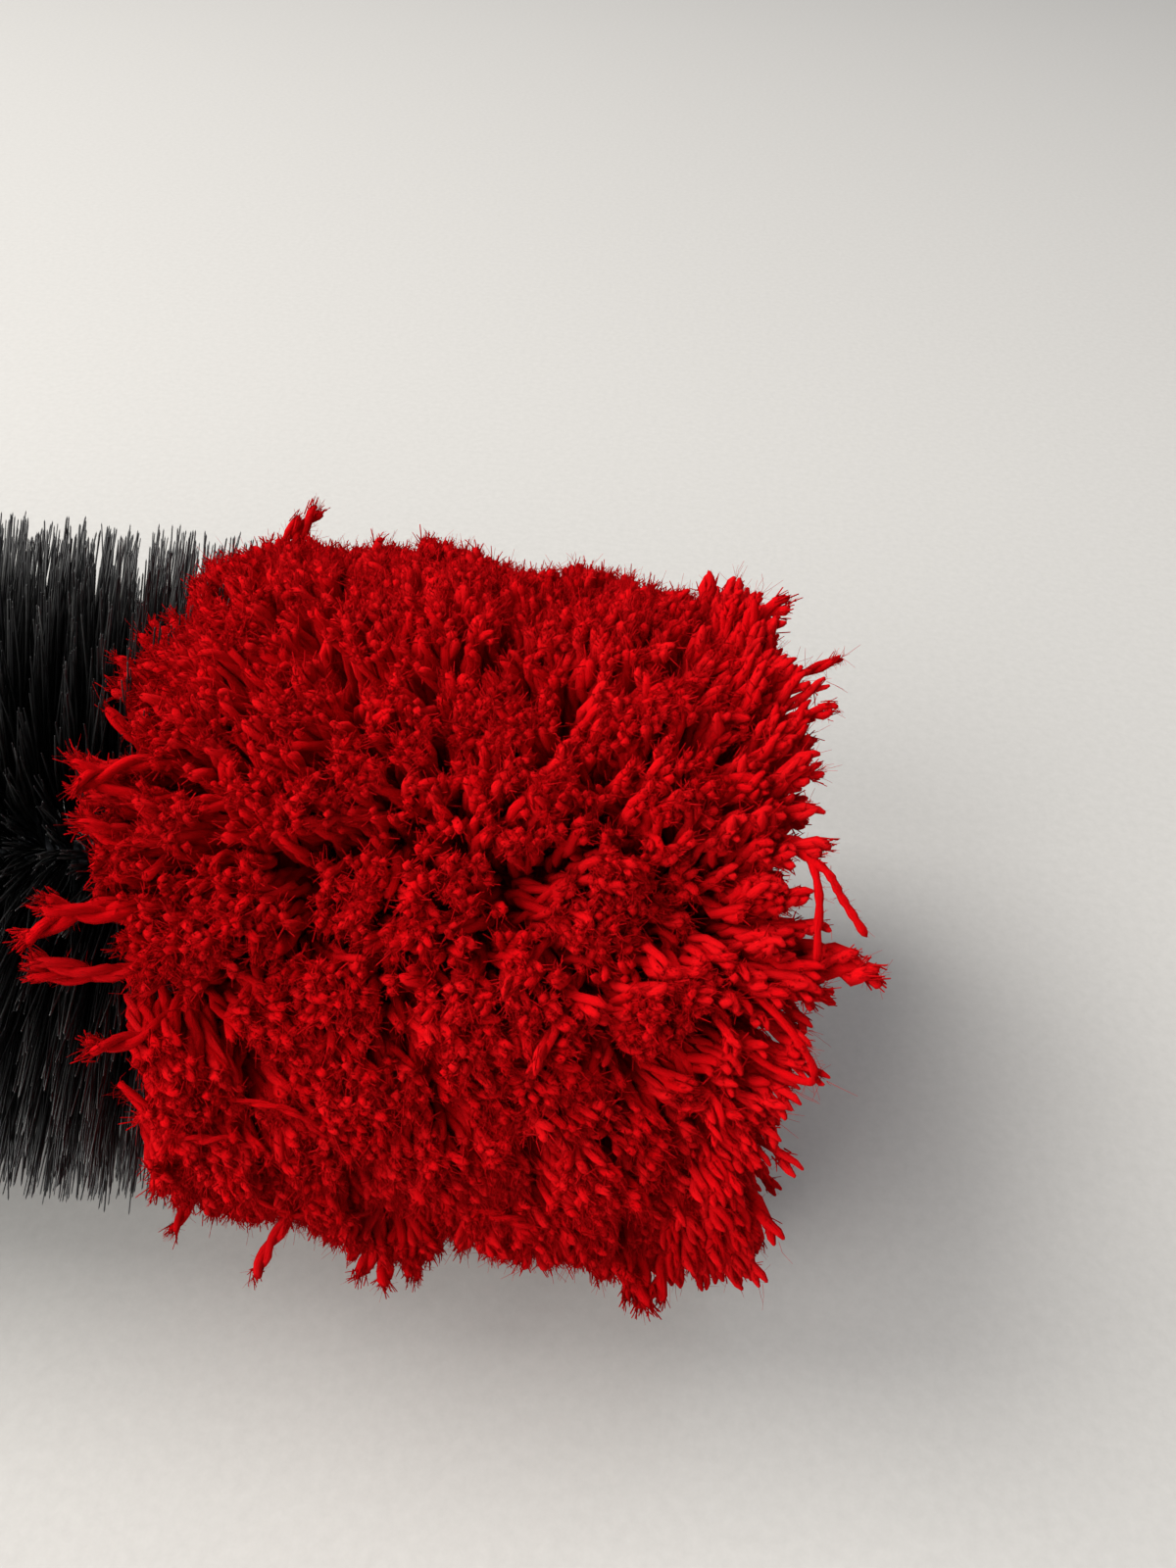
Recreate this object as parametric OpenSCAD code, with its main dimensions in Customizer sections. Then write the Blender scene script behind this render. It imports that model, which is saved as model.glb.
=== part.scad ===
// A wand with a cut-yarn pom on the end of a twisted-wire bristle brush, lying on its side.
// Millimetres. X runs along the stem, with the pom at +X and the hang ring at -X. Z is up.
// The origin is on the resting plane, under the middle of the overall length.

/* [Pile] */
// Radius of the cut bristle ends about the stem
bristle_r = 35; // [33:0.5:38]
// Radius of the yarn pom about the stem
pom_r = 35.5; // [34:0.5:38]
// How far the bristles are pressed flat where they rest
press_in = 1.4; // [1:0.1:2]
// Stretch of stem that one row of pile covers
row_len = 12; // [10:0.5:14]
// Length of the yarn tuft that closes the tip
tip_len = 9; // [8:0.5:12]
// Depth of the dimple in the middle of the tip
dimple_depth = 2.5; // [1:0.5:3]

/* [Stem] */
// Diameter of the stem's wire
wire_d = 2; // [1.6:0.1:2]
// Length of one full twist of the two legs of wire
twist_lead = 6; // [6:0.5:9]
// Length of bare stem between the pile and the ferrule
bare_len = 30; // [20:1:45]

/* [Handle] */
// Length of the handle body behind the ferrule
body_len = 96; // [90:1:120]
// Radius of the handle body's collars
body_r = 10.8; // [10.5:0.1:12]
// Length of the ferrule over the nose of the handle
ferrule_len = 20; // [18:0.5:24]
// Thickness of the ferrule's sheet metal
ferrule_wall = 0.7; // [0.5:0.1:0.8]
// Thickness of the soft sleeve over its ribs
sleeve_wall = 2.6; // [2:0.1:3]
// Number of grooves round the sleeve
sleeve_grooves = 11; // [6:1:12]

/* [Hanging] */
// Mean radius of the hang ring
ring_r = 12.5; // [11.5:0.5:14]
// Diameter of the hang ring's wire
ring_wire_d = 2.2; // [1.8:0.1:2.2]
// Width of the ear that carries the hang ring
ear_w = 5; // [4:0.5:5]
// Length of the ear behind the end cap
ear_len = 13; // [13:0.5:16]

/* [Hidden] */
bristle_rows = 12;
yarn_rows = 4;
round_fn = 96;
small_fn = 48;

// Gaps between pieces
row_gap = 0.3;
slip = 0.1;
pin_slip = 0.02;

// Stem: each leg's centre line winds round the axis at this radius
wire_r = wire_d / 2;
helix_r = 1.15 * wire_r;
wire_sides = 6;
steps_per_turn = 8;
stem_hole_r = helix_r + wire_r + 0.3;
eye_r = 1.9 * wire_r;
eye_steps = 8;
stem_inside = 20;

// Pile
axis_z = bristle_r - press_in;
pile_hole_r = stem_hole_r + 0.3;
row_edge = 0.6;
pom_taper = 0.8;
tip_edge_r = 6;
dimple_r = 9;

// Handle
nose_len = ferrule_len - 2;
nose_r = body_r - 1.3;
nose_tip_r = 3.6;
nose_straight = 6;
hollow_r = 7.4;
bulkhead = 8;
sleeve_seat_r = body_r - 1.1;
sleeve_front = 5;
sleeve_back = 15;
sleeve_len = body_len - sleeve_front - sleeve_back;
groove_depth = 0.9;
groove_w = 2.2;
crimp_len = 9;
crimp_r = 4.2;
cap_len = 8;
spigot_len = 13;
spigot_r = hollow_r - slip;
cap_pin_r = 1.2;
cap_pin_in = 7;
tack_r = 0.6;
tack_head_r = 1.2;
tack_head = 0.4;
tack_len = 3.4;
tack_x = 3;
tacks = 3;

// Hanging
ear_half = 6;
ear_hole_r = 1.8;

// Places along the stem, from the tip back
pom_len = tip_len + yarn_rows * row_len;
total_len = pom_len + bristle_rows * row_len + bare_len + ferrule_len + body_len + cap_len + ear_len;
tip_x = total_len / 2;
tuft_x = tip_x - tip_len;
pom_back_x = tip_x - pom_len;
pile_back_x = pom_back_x - bristle_rows * row_len;
ferrule_x = pile_back_x - bare_len;
shoulder_x = ferrule_x - ferrule_len;
body_back_x = shoulder_x - body_len;
cap_back_x = body_back_x - cap_len;
ring_x = cap_back_x - ear_len + ear_half;

function bristle_name(i) = str("bristle_row_", i);
function yarn_name(i) = str("yarn_row_", i);

// Stands a shape that was turned about Z on the stem, with its base at x
module on_stem(x) {
    translate([x, 0, axis_z])
        rotate([0, 90, 0])
            children();
}

// Keeps only what is above the resting plane
module resting() {
    reach = 2 * (pom_r + row_len);
    intersection() {
        children();
        translate([-total_len, -reach, 0])
            cube([2 * total_len, 2 * reach, reach]);
    }
}

// One turned row of pile with its outer edges broken
module pile_row(r, length) {
    rotate_extrude($fn = round_fn)
        polygon([
            [pile_hole_r, 0],
            [r - row_edge, 0],
            [r, row_edge],
            [r, length - row_edge],
            [r - row_edge, length],
            [pile_hole_r, length]
        ]);
}

// The stem's centre line: out along one leg, round the eye at the nose, and back along the other
function radial(angle) = [0, cos(angle), sin(angle)];
function leg_point(x, angle) = [x, 0, axis_z] + helix_r * radial(angle);

leg_start_x = shoulder_x - stem_inside;
leg_steps = round((tuft_x - leg_start_x) / twist_lead * steps_per_turn);
leg_dx = (tuft_x - leg_start_x) / leg_steps;
leg_turn = 360 / steps_per_turn;
eye_angle = leg_steps * leg_turn;
eye_start = 180 - asin(helix_r / eye_r);
eye_x = tuft_x + sqrt(eye_r * eye_r - helix_r * helix_r);

out_leg = [for (i = [0:leg_steps]) leg_point(leg_start_x + i * leg_dx, i * leg_turn)];
back_leg = [for (i = [leg_steps:-1:0]) leg_point(leg_start_x + i * leg_dx, i * leg_turn + 180)];
eye_turns = [for (i = [1:eye_steps - 1]) eye_start * (1 - 2 * i / eye_steps)];
eye_out = [for (a = eye_turns) [cos(a), 0, 0] + sin(a) * radial(eye_angle)];
eye = [for (v = eye_out) [eye_x, 0, axis_z] + eye_r * v];

stem_path = concat(out_leg, eye, back_leg);
stem_outward = concat(
    [for (i = [0:leg_steps]) radial(i * leg_turn)],
    eye_out,
    [for (i = [leg_steps:-1:0]) radial(i * leg_turn + 180)]
);

function unit(v) = v / norm(v);
function heading(path, i) = unit(path[min(i + 1, len(path) - 1)] - path[max(i - 1, 0)]);

// A ring of points round one place on a path
function section(centre, along, outward, r) =
    let (across = unit(cross(along, outward)), out = cross(across, along))
    [for (k = [0:wire_sides - 1])
        let (a = k * 360 / wire_sides)
        centre + r * (cos(a) * out + sin(a) * across)];

module wire_along(path, outward, r) {
    rings = [for (i = [0:len(path) - 1]) section(path[i], heading(path, i), outward[i], r)];
    last = len(path) - 1;
    n = wire_sides;
    sides = [for (i = [0:last - 1], k = [0:n - 1])
        let (a = i * n + k, b = i * n + (k + 1) % n)
        each [[a, a + n, b + n], [a, b + n, b]]];
    ends = [[for (k = [0:n - 1]) k], [for (k = [n - 1:-1:0]) last * n + k]];
    polyhedron(points = [for (ring = rings) each ring], faces = concat(sides, ends), convexity = 8);
}

module core_wire() {
    color("#8d9094")
        wire_along(stem_path, stem_outward, wire_r);
}

// Row 1 is the bristle row next to the pom
module bristle_row(i) {
    color("#17181a")
        resting()
            on_stem(pom_back_x - i * row_len + row_gap / 2)
                pile_row(bristle_r, row_len - row_gap);
}

// Row 1 is the yarn row next to the tip; the middle of the pom is the fullest
module yarn_row(i) {
    off_middle = abs(i - (yarn_rows + 1) / 2) / yarn_rows;
    color("#b3101b")
        resting()
            on_stem(tuft_x - i * row_len + row_gap / 2)
                pile_row(pom_r - pom_taper * off_middle, row_len - row_gap);
}

// The tuft at the tip: a rounded shoulder, a dimpled face and a blind hole for the wire's eye
module yarn_tip() {
    r = pom_r - pom_taper;
    length = tip_len - row_gap / 2;
    shoulder = [for (a = [0:15:90])
        [r - tip_edge_r + tip_edge_r * cos(a), length - tip_edge_r + tip_edge_r * sin(a)]];
    eye_room_r = eye_r + wire_r + 0.4;
    eye_room = eye_x - tuft_x + eye_r + wire_r + 0.5;
    color("#b3101b")
        resting()
            on_stem(tuft_x + row_gap / 2)
                difference() {
                    rotate_extrude($fn = round_fn)
                        polygon(concat(
                            [[0, 0], [r, 0]],
                            shoulder,
                            [[dimple_r, length], [0, length - dimple_depth]]
                        ));
                    translate([0, 0, -1])
                        cylinder(r = eye_room_r, h = eye_room + 1, $fn = small_fn);
                }
}

// A thin cone of sheet metal, closed round the stem at the front
module ferrule() {
    out_r = nose_r + ferrule_wall + slip;
    tip_r = nose_tip_r + ferrule_wall + slip;
    color("#c3c6ca")
        difference() {
            on_stem(shoulder_x + slip)
                rotate_extrude($fn = round_fn)
                    polygon([
                        [nose_r + slip, 0],
                        [out_r, 0],
                        [out_r, nose_straight],
                        [tip_r, ferrule_len - slip],
                        [stem_hole_r, ferrule_len - slip],
                        [stem_hole_r, ferrule_len - 1],
                        [nose_tip_r + slip, ferrule_len - 1],
                        [nose_r + slip, nose_straight]
                    ]);
            tack_holes();
        }
}

// Places its children at each tack, pointing outward along Z from the stem's axis
module at_tacks() {
    for (i = [0:tacks - 1])
        translate([shoulder_x + tack_x, 0, axis_z])
            rotate([i * 360 / tacks, 0, 0])
                children();
}

module tack_holes() {
    at_tacks()
        translate([0, 0, nose_r - tack_len - slip])
            cylinder(r = tack_r + pin_slip, h = tack_len + 3, $fn = small_fn);
}

module ferrule_tacks() {
    head_z = nose_r + ferrule_wall + 2 * slip;
    color("#a9adb2")
        at_tacks() {
            translate([0, 0, head_z - tack_len])
                cylinder(r = tack_r, h = tack_len, $fn = small_fn);
            translate([0, 0, head_z])
                cylinder(r = tack_head_r, h = tack_head, $fn = small_fn);
        }
}

// Sleeve squeezed on the wire's two ends behind the bulkhead
module wire_crimp() {
    color("#b08a4a")
        on_stem(shoulder_x - bulkhead - crimp_len - slip)
            difference() {
                cylinder(r = crimp_r, h = crimp_len, $fn = small_fn);
                translate([0, 0, -1])
                    cylinder(r = stem_hole_r - 0.2, h = crimp_len + 2, $fn = small_fn);
            }
}

// A hollow turned body: a nose for the ferrule, a seat for the sleeve and a collar at each end
module handle_body() {
    back = -body_len;
    seat_back = back + sleeve_back;
    color("#1d1e20")
        difference() {
            on_stem(shoulder_x)
                rotate_extrude($fn = round_fn)
                    polygon([
                        [stem_hole_r, nose_len],
                        [nose_tip_r, nose_len],
                        [nose_r, nose_straight],
                        [nose_r, 0],
                        [body_r, 0],
                        [body_r, -sleeve_front],
                        [sleeve_seat_r, -sleeve_front],
                        [sleeve_seat_r, seat_back],
                        [body_r, seat_back],
                        [body_r, back],
                        [hollow_r, back],
                        [hollow_r, -bulkhead],
                        [stem_hole_r, -bulkhead]
                    ]);
            tack_holes();
            cap_pin_hole();
        }
}

// A soft tube with chamfered grooves, a snug fit on its seat
module grip_sleeve() {
    in_r = sleeve_seat_r + 0.05;
    out_r = sleeve_seat_r + sleeve_wall;
    length = sleeve_len - 2 * slip;
    pitch = length / (sleeve_grooves + 1);
    chamfer = 1.2;
    grooves = [for (i = [1:sleeve_grooves])
        let (at = i * pitch)
        each [
            [out_r, at - groove_w / 2 - groove_depth / 2],
            [out_r - groove_depth, at - groove_w / 2],
            [out_r - groove_depth, at + groove_w / 2],
            [out_r, at + groove_w / 2 + groove_depth / 2]
        ]];
    color("#8f1018")
        on_stem(shoulder_x - sleeve_front - sleeve_len + slip)
            rotate_extrude($fn = round_fn)
                polygon(concat(
                    [[in_r, 0], [out_r - chamfer, 0], [out_r, chamfer]],
                    grooves,
                    [[out_r, length - chamfer], [out_r - chamfer, length], [in_r, length]]
                ));
}

module across_handle(x, r, length) {
    translate([x, 0, axis_z])
        rotate([90, 0, 0])
            cylinder(r = r, h = length, center = true, $fn = small_fn);
}

module cap_pin_hole() {
    across_handle(body_back_x + cap_pin_in, cap_pin_r + pin_slip, 4 * body_r);
}

module cap_pin() {
    color("#a9adb2")
        across_handle(body_back_x + cap_pin_in, cap_pin_r, 2 * body_r - 0.4);
}

// A plug with a rounded flange and a flat ear for the hang ring
module end_cap() {
    flange_edge = 2.5;
    flange = [for (a = [0:15:90])
        [body_r - flange_edge + flange_edge * cos(a), flange_edge - flange_edge * sin(a)]];
    color("#1d1e20")
        difference() {
            union() {
                on_stem(cap_back_x)
                    rotate_extrude($fn = round_fn)
                        polygon(concat(
                            [[0, 0]],
                            [for (i = [len(flange) - 1:-1:0]) flange[i]],
                            [
                                [body_r, cap_len - slip],
                                [spigot_r, cap_len - slip],
                                [spigot_r, cap_len + spigot_len],
                                [0, cap_len + spigot_len]
                            ]
                        ));
                translate([ring_x, -ear_w / 2, axis_z - ear_half])
                    cube([cap_back_x - ring_x + 1, ear_w, 2 * ear_half]);
                across_handle(ring_x, ear_half, ear_w);
            }
            across_handle(ring_x, ear_hole_r, 2 * ear_w);
            cap_pin_hole();
        }
}

// A welded ring that hangs straight down through the ear's hole
module hang_ring() {
    color("#c3c6ca")
        translate([ring_x, 0, axis_z - ring_r])
            rotate([0, 90, 0])
                rotate_extrude($fn = round_fn)
                    translate([ring_r, 0])
                        circle(d = ring_wire_d, $fn = small_fn);
}

core_wire();
for (i = [1:bristle_rows]) bristle_row(i);
for (i = [1:yarn_rows]) yarn_row(i);
yarn_tip();
ferrule();
ferrule_tacks();
wire_crimp();
handle_body();
grip_sleeve();
cap_pin();
end_cap();
hang_ring();
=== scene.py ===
"""Looks for a wand with a cut-yarn pom on the end of a twisted-wire bristle brush.

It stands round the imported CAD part, in metres, in the part's own frame: X runs along the stem
with the pom at +X, and Z is up. The pile is grown strand by strand: every bristle and every yarn
end is its own closed tube, built with numpy from a seeded draw.
"""

import math

import bpy
import numpy as np
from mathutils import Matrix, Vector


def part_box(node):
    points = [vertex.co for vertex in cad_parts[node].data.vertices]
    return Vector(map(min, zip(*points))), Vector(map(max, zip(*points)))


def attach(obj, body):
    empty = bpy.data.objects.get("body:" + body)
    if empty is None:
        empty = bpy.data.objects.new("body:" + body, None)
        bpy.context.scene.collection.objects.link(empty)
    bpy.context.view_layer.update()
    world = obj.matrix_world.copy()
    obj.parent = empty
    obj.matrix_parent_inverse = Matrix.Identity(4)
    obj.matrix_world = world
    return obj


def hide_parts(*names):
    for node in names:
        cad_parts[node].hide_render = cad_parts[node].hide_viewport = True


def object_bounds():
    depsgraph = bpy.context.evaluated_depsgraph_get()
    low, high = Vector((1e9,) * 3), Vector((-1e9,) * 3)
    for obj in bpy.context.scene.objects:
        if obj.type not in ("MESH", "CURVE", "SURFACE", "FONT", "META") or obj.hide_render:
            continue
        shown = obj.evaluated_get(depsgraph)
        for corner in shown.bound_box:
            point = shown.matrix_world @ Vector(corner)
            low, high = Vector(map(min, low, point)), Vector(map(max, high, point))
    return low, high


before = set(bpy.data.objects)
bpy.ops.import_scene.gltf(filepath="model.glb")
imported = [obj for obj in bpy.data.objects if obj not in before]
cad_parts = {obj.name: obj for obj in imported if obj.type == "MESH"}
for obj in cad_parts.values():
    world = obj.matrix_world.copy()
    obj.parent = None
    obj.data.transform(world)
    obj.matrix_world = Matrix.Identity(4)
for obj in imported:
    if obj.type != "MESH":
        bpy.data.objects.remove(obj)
CAD_BOX = [list(corner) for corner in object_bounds()]

# ---------------------------------------------------------------- sizes from the frame
MM = 0.001
WAND = "wand"
LOWEST = 0.02 * MM
BRISTLE_ROWS = sorted((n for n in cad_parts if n.startswith("bristle_row_")), key=lambda n: int(n[12:]))
YARN_ROWS = sorted((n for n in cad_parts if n.startswith("yarn_row_")), key=lambda n: int(n[9:]))
STEM_LO, STEM_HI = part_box("core_wire")
AXIS_Z = (STEM_LO.z + STEM_HI.z) / 2
BRISTLE_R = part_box(BRISTLE_ROWS[0])[1].y
POM_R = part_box(YARN_ROWS[1])[1].y
TIP_X = CAD_BOX[1][0]
TUFT_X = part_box("yarn_tip")[0].x
POM_BACK_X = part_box(YARN_ROWS[-1])[0].x
PILE_BACK_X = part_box(BRISTLE_ROWS[-1])[0].x
POM_MIDDLE = np.array([(TIP_X + POM_BACK_X) / 2, 0.0, AXIS_Z])

# The stem, as in the CAD model
WIRE_R = 1.0 * MM
HELIX_R = 1.15 * MM
EYE_R = 1.9 * MM
TWIST_LEAD = 6.0 * MM

# ---------------------------------------------------------------- camera and light
CAMERA_FROM_POM = np.array([13.7, -82.6, 96.5]) * MM
CAMERA_TILT, CAMERA_ROLL, CAMERA_YAW = 46.3, -2.5, 5.3
LENS_MM = 27.0
# Each light: name, place from the pom's middle in metres, side in metres, watts, colour
LIGHTS = [
    ("key", (-0.92, 0.12, 1.17), 0.84, 27.5, (1.0, 0.975, 0.94)),
    ("side", (-0.63, -0.68, 0.66), 0.70, 12.5, (1.0, 0.98, 0.95)),
    ("top", (0.14, 0.42, 1.10), 0.80, 1.6, (0.97, 0.98, 1.0)),
]
SKY_COLOUR, SKY_STRENGTH = (0.93, 0.95, 1.0), 0.50
# Half the side of the floor, in metres
FLOOR_HALF = 6.0


def make_camera():
    data = bpy.data.cameras.new("camera")
    data.lens = LENS_MM
    data.clip_start = 0.005
    data.clip_end = 20
    camera = bpy.data.objects.new("camera", data)
    camera.location = POM_MIDDLE + CAMERA_FROM_POM
    camera.rotation_euler = [math.radians(a) for a in (CAMERA_TILT, CAMERA_ROLL, CAMERA_YAW)]
    bpy.context.scene.collection.objects.link(camera)
    bpy.context.scene.camera = camera


def area_light(name, away, size, watts, colour):
    """A square soft light, away from the pom's middle and facing it."""
    data = bpy.data.lights.new(name, "AREA")
    data.size = size
    data.energy = watts
    data.color = colour
    light = bpy.data.objects.new(name, data)
    away = np.array(away)
    light.location = POM_MIDDLE + away
    light.rotation_euler = Vector(away).to_track_quat("Z", "Y").to_euler()
    bpy.context.scene.collection.objects.link(light)


def make_lights():
    for light in LIGHTS:
        area_light(*light)
    world = bpy.data.worlds.new("studio")
    world.use_nodes = True
    sky = world.node_tree.nodes["Background"]
    sky.inputs["Color"].default_value = (*SKY_COLOUR, 1)
    sky.inputs["Strength"].default_value = SKY_STRENGTH
    bpy.context.scene.world = world
    bpy.context.scene.view_settings.view_transform = "Standard"


# ---------------------------------------------------------------- materials
def new_material(name, roughness, **sockets):
    """A Principled material whose plain values are set on its own sockets."""
    material = bpy.data.materials.new(name)
    material.use_nodes = True
    shader = material.node_tree.nodes["Principled BSDF"]
    shader.inputs["Roughness"].default_value = roughness
    for socket, value in sockets.items():
        shader.inputs[socket.replace("_", " ")].default_value = value
    return material, material.node_tree, shader


def add(tree, kind, **inputs):
    node = tree.nodes.new(kind)
    for name, value in inputs.items():
        node.inputs[name].default_value = value
    return node


def object_noise(tree, scale, detail=3.0, rough=0.6):
    """Noise fixed to the object, with features about 1/scale metres wide."""
    place = tree.nodes.new("ShaderNodeTexCoord")
    noise = add(tree, "ShaderNodeTexNoise", Scale=scale, Detail=detail, Roughness=rough)
    tree.links.new(place.outputs["Object"], noise.inputs["Vector"])
    return noise.outputs["Fac"]


def ramp(tree, value, *stops):
    """A colour ramp over a value; each stop is (position, (r, g, b))."""
    node = tree.nodes.new("ShaderNodeValToRGB")
    elements = node.color_ramp.elements
    while len(elements) < len(stops):
        elements.new(0.5)
    for element, (position, colour) in zip(elements, stops):
        element.position = position
        element.color = (*colour, 1)
    tree.links.new(value, node.inputs["Fac"])
    return node.outputs["Color"]


def maths(tree, operation, a, b):
    node = tree.nodes.new("ShaderNodeMath")
    node.operation = operation
    for socket, value in zip(node.inputs, (a, b)):
        if isinstance(value, (int, float)):
            socket.default_value = value
        else:
            tree.links.new(value, socket)
    return node.outputs["Value"]


def attribute(tree, name):
    node = tree.nodes.new("ShaderNodeAttribute")
    node.attribute_name = name
    return node.outputs["Fac"]


def bump(tree, shader, height, strength, distance):
    node = add(tree, "ShaderNodeBump", Strength=strength, Distance=distance)
    tree.links.new(height, node.inputs["Height"])
    tree.links.new(node.outputs["Normal"], shader.inputs["Normal"])


def yarn_material():
    """Red wool: fibres streak along each ply, each strand has its own tone, and the low places
    between fibres are darker, which is painted shade."""
    material, tree, shader = new_material(
        "yarn", 0.9, Sheen_Weight=0.45, Sheen_Roughness=0.6, Sheen_Tint=(1.0, 0.01, 0.015, 1),
        Specular_IOR_Level=0.02,
    )
    skin = tree.nodes.new("ShaderNodeAttribute")
    skin.attribute_name = "skin"
    streaks = add(tree, "ShaderNodeTexNoise", Scale=3.2, Detail=4.0, Roughness=0.7)
    tree.links.new(skin.outputs["Vector"], streaks.inputs["Vector"])
    fibres = streaks.outputs["Fac"]
    patches = object_noise(tree, 260, 2.0)
    # The tone attribute of the yarn holds painted shade: strands are darker towards their roots.
    tone = maths(tree, "ADD", attribute(tree, "tone"), maths(tree, "MULTIPLY", patches, 0.45))
    # The fibre noise that raises the bump also darkens the low places between fibres: painted shade.
    tone = maths(tree, "ADD", tone, maths(tree, "MULTIPLY", fibres, 0.75))
    tone = maths(tree, "SUBTRACT", tone, 0.35)
    colour = ramp(
        tree, tone,
        (0.0, (0.29, 0.0, 0.0006)),
        (0.35, (0.42, 0.0002, 0.0012)),
        (0.65, (0.51, 0.0005, 0.0024)),
        (1.0, (0.56, 0.003, 0.005)),
    )
    tree.links.new(colour, shader.inputs["Base Color"])
    bump(tree, shader, fibres, 0.9, 0.35 * MM)
    return material


def bristle_material():
    """Black cut filament with a soft sheen; some are a little greyer along their length."""
    material, tree, shader = new_material("bristle", 0.34, Specular_IOR_Level=0.5)
    streaks = object_noise(tree, 1800, 2.0)
    tone = maths(tree, "ADD", attribute(tree, "tone"), maths(tree, "MULTIPLY", streaks, 0.3))
    colour = ramp(
        tree, tone,
        (0.0, (0.005, 0.005, 0.0055)),
        (0.6, (0.018, 0.018, 0.018)),
        (1.0, (0.075, 0.075, 0.072)),
    )
    tree.links.new(colour, shader.inputs["Base Color"])
    rough = maths(tree, "ADD", maths(tree, "MULTIPLY", streaks, 0.3), 0.2)
    tree.links.new(rough, shader.inputs["Roughness"])
    return material


def metal_material(name, colour, roughness, grain):
    """Drawn or plated metal with fine grain and slightly dull patches."""
    material, tree, shader = new_material(name, roughness, Metallic=1.0)
    patches = object_noise(tree, 120, 3.0)
    scratches = object_noise(tree, grain, 4.0, 0.7)
    dark = tuple(0.72 * c for c in colour)
    tree.links.new(ramp(tree, patches, (0.3, dark), (0.7, colour)), shader.inputs["Base Color"])
    rough = maths(tree, "ADD", maths(tree, "MULTIPLY", scratches, 0.22), roughness - 0.1)
    tree.links.new(rough, shader.inputs["Roughness"])
    bump(tree, shader, scratches, 0.12, 0.04 * MM)
    return material


def plastic_material():
    """Black moulded plastic: semi-gloss, with faint mould texture and handling wear."""
    material, tree, shader = new_material("handle_plastic", 0.32, Coat_Weight=0.15)
    wear = object_noise(tree, 90, 5.0)
    grain = object_noise(tree, 2400, 2.0)
    colour = ramp(tree, wear, (0.35, (0.012, 0.012, 0.014)), (0.75, (0.03, 0.03, 0.033)))
    tree.links.new(colour, shader.inputs["Base Color"])
    rough = maths(tree, "ADD", maths(tree, "MULTIPLY", wear, 0.35), 0.18)
    tree.links.new(rough, shader.inputs["Roughness"])
    bump(tree, shader, grain, 0.15, 0.05 * MM)
    return material


def rubber_material():
    """Dark red soft rubber, matt, with a pebbled surface and patches of dust."""
    material, tree, shader = new_material("sleeve_rubber", 0.7, Specular_IOR_Level=0.3)
    pebbles = object_noise(tree, 2600, 2.0)
    dust = object_noise(tree, 140, 4.0)
    colour = ramp(tree, dust, (0.3, (0.15, 0.004, 0.007)), (0.75, (0.24, 0.012, 0.014)))
    tree.links.new(colour, shader.inputs["Base Color"])
    rough = maths(tree, "ADD", maths(tree, "MULTIPLY", dust, 0.25), 0.55)
    tree.links.new(rough, shader.inputs["Roughness"])
    bump(tree, shader, pebbles, 0.3, 0.12 * MM)
    return material


def paper_material():
    material, tree, shader = new_material("paper", 0.8, Specular_IOR_Level=0.2)
    fibres = object_noise(tree, 700, 5.0, 0.7)
    colour = ramp(tree, fibres, (0.3, (0.405, 0.394, 0.376)), (0.7, (0.44, 0.431, 0.41)))
    tree.links.new(colour, shader.inputs["Base Color"])
    bump(tree, shader, fibres, 0.15, 0.15 * MM)
    return material


# ---------------------------------------------------------------- tubes
def unit(v):
    return v / np.linalg.norm(v, axis=-1, keepdims=True)


def axes_along(paths, across):
    """The heading of each path at each ring, and two directions square to it."""
    heading = unit(np.gradient(paths, axis=1))
    side = unit(np.cross(heading, across[:, None, :]))
    return heading, side, np.cross(side, heading)


def tubes(paths, radii, across, sides, end_length):
    """Closed tubes along paths (tubes, rings, 3) with radii (tubes, rings).
    across is one direction per tube that its path never runs along.
    Returns vertices, quads and triangles, with each tube's vertices one after another."""
    count, rings, _ = paths.shape
    heading, side, out = axes_along(paths, across)
    turn = np.arange(sides) * 2 * np.pi / sides
    ring = np.cos(turn)[:, None] * side[:, :, None] + np.sin(turn)[:, None] * out[:, :, None]
    skin = paths[:, :, None] + radii[:, :, None, None] * ring
    ends = np.stack([
        paths[:, 0] - heading[:, 0] * end_length,
        paths[:, -1] + heading[:, -1] * end_length,
    ], 1)
    points = np.concatenate([skin.reshape(count, -1, 3), ends], 1)
    size = points.shape[1]
    i, k = np.meshgrid(np.arange(rings - 1), np.arange(sides), indexing="ij")
    a, b = i * sides + k, i * sides + (k + 1) % sides
    quads = np.stack([a, a + sides, b + sides, b], -1).reshape(-1, 4)
    k = np.arange(sides)
    first = np.stack([np.full(sides, size - 2), k, (k + 1) % sides], -1)
    top = (rings - 1) * sides
    last = np.stack([np.full(sides, size - 1), top + (k + 1) % sides, top + k], -1)
    shift = (np.arange(count) * size)[:, None, None]
    quads = (quads[None] + shift).reshape(-1, 4)
    triangles = (np.concatenate([first, last])[None] + shift).reshape(-1, 3)
    return points.reshape(-1, 3), quads, triangles, size


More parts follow.
